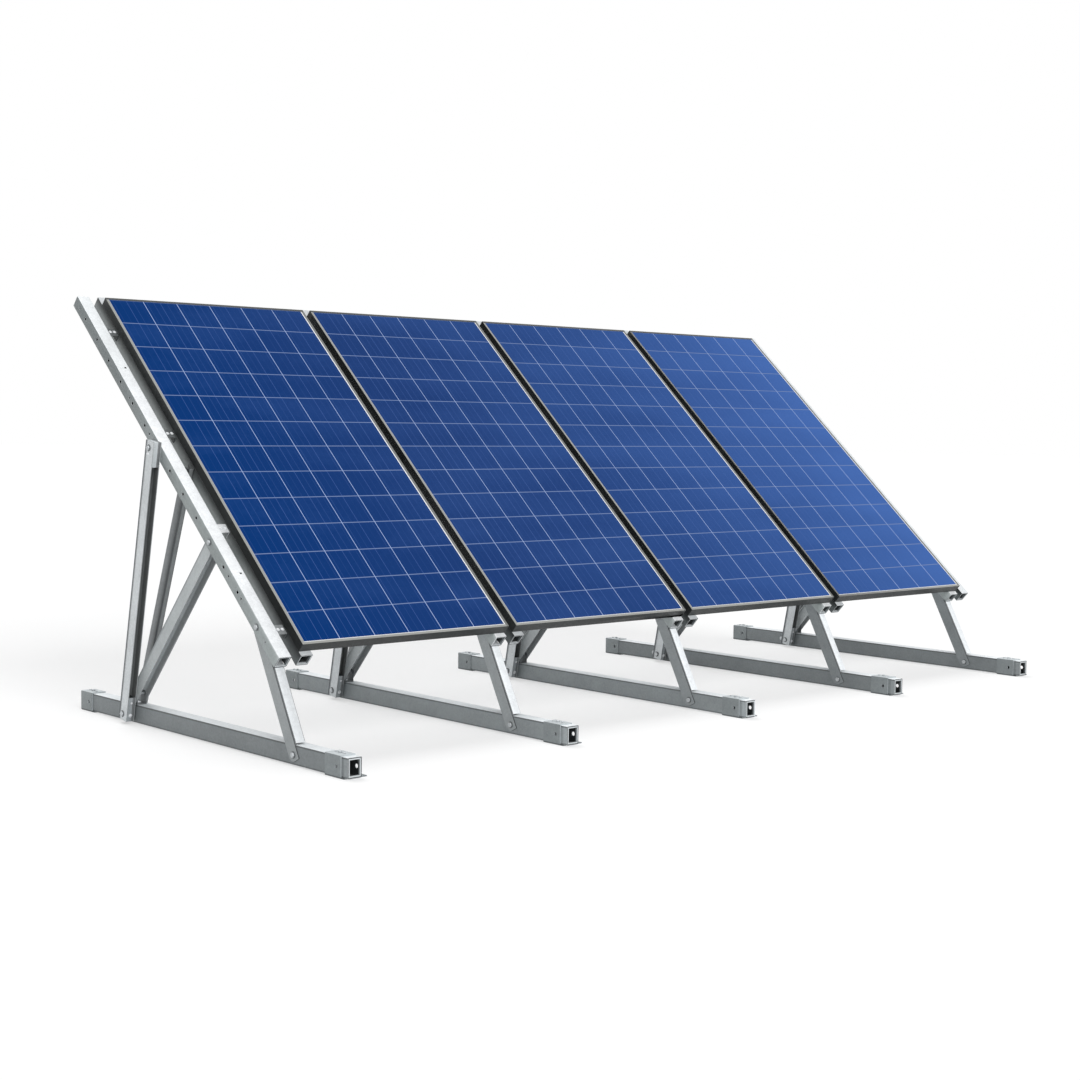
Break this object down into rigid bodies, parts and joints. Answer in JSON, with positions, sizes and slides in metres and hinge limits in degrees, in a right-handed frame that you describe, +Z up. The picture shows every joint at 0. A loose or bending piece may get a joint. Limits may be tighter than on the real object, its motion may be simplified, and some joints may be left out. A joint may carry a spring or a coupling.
{
  "type": "solar panel ground mount",
  "caption": "Row of triangular galvanised steel frames on the ground that carry framed solar panels at a fixed tilt, ready to bolt down.",
  "frame": {"origin": "centre of the overall outline at ground level, under the middle of the row", "axes": "+X along the row to the viewer's right, -Y to the front where the panels are low, +Z up"},
  "size_m": [4.327, 1.9536, 1.7366],
  "materials": {
    "galvanised_steel": "hot-dip galvanised, dull with a fine spangle",
    "dark_frame": "dark anodised, satin",
    "cell_glass": "blue cells under low-iron glass",
    "black_plastic": "moulded",
    "zinc_fixings": "zinc plated"
  },
  "bodies": {
    "root": {"base_beam_1": "galvanised_steel", "base_beam_2": "galvanised_steel", "base_beam_3": "galvanised_steel", "base_beam_4": "galvanised_steel", "base_beam_5": "galvanised_steel", "brace_brackets": "galvanised_steel", "front_feet": "galvanised_steel", "front_leg_1": "galvanised_steel", "front_leg_2": "galvanised_steel", "front_leg_3": "galvanised_steel", "front_leg_4": "galvanised_steel", "front_leg_5": "galvanised_steel", "junction_box_1": "black_plastic", "junction_box_2": "black_plastic", "junction_box_3": "black_plastic", "junction_box_4": "black_plastic", "left_rail_1": "galvanised_steel", "left_rail_2": "galvanised_steel", "left_rail_3": "galvanised_steel", "left_rail_4": "galvanised_steel", "left_rail_5": "galvanised_steel", "lower_bolts": "zinc_fixings", "panel_frame_1": "dark_frame", "panel_frame_2": "dark_frame", "panel_frame_3": "dark_frame", "panel_frame_4": "dark_frame", "panel_laminate_1": "cell_glass", "panel_laminate_2": "cell_glass", "panel_laminate_3": "cell_glass", "panel_laminate_4": "cell_glass", "post_inserts": "galvanised_steel", "rail_links": "galvanised_steel", "rear_brace_1": "galvanised_steel", "rear_brace_2": "galvanised_steel", "rear_brace_3": "galvanised_steel", "rear_brace_4": "galvanised_steel", "rear_brace_5": "galvanised_steel", "rear_feet": "galvanised_steel", "rear_post_1": "galvanised_steel", "rear_post_2": "galvanised_steel", "rear_post_3": "galvanised_steel", "rear_post_4": "galvanised_steel", "rear_post_5": "galvanised_steel", "right_rail_1": "galvanised_steel", "right_rail_2": "galvanised_steel", "right_rail_3": "galvanised_steel", "right_rail_4": "galvanised_steel", "right_rail_5": "galvanised_steel", "second_post_1": "galvanised_steel", "second_post_2": "galvanised_steel", "second_post_3": "galvanised_steel", "second_post_4": "galvanised_steel", "second_post_5": "galvanised_steel", "spacers": "zinc_fixings", "upper_bolts": "zinc_fixings"}
  },
  "joints": []
}
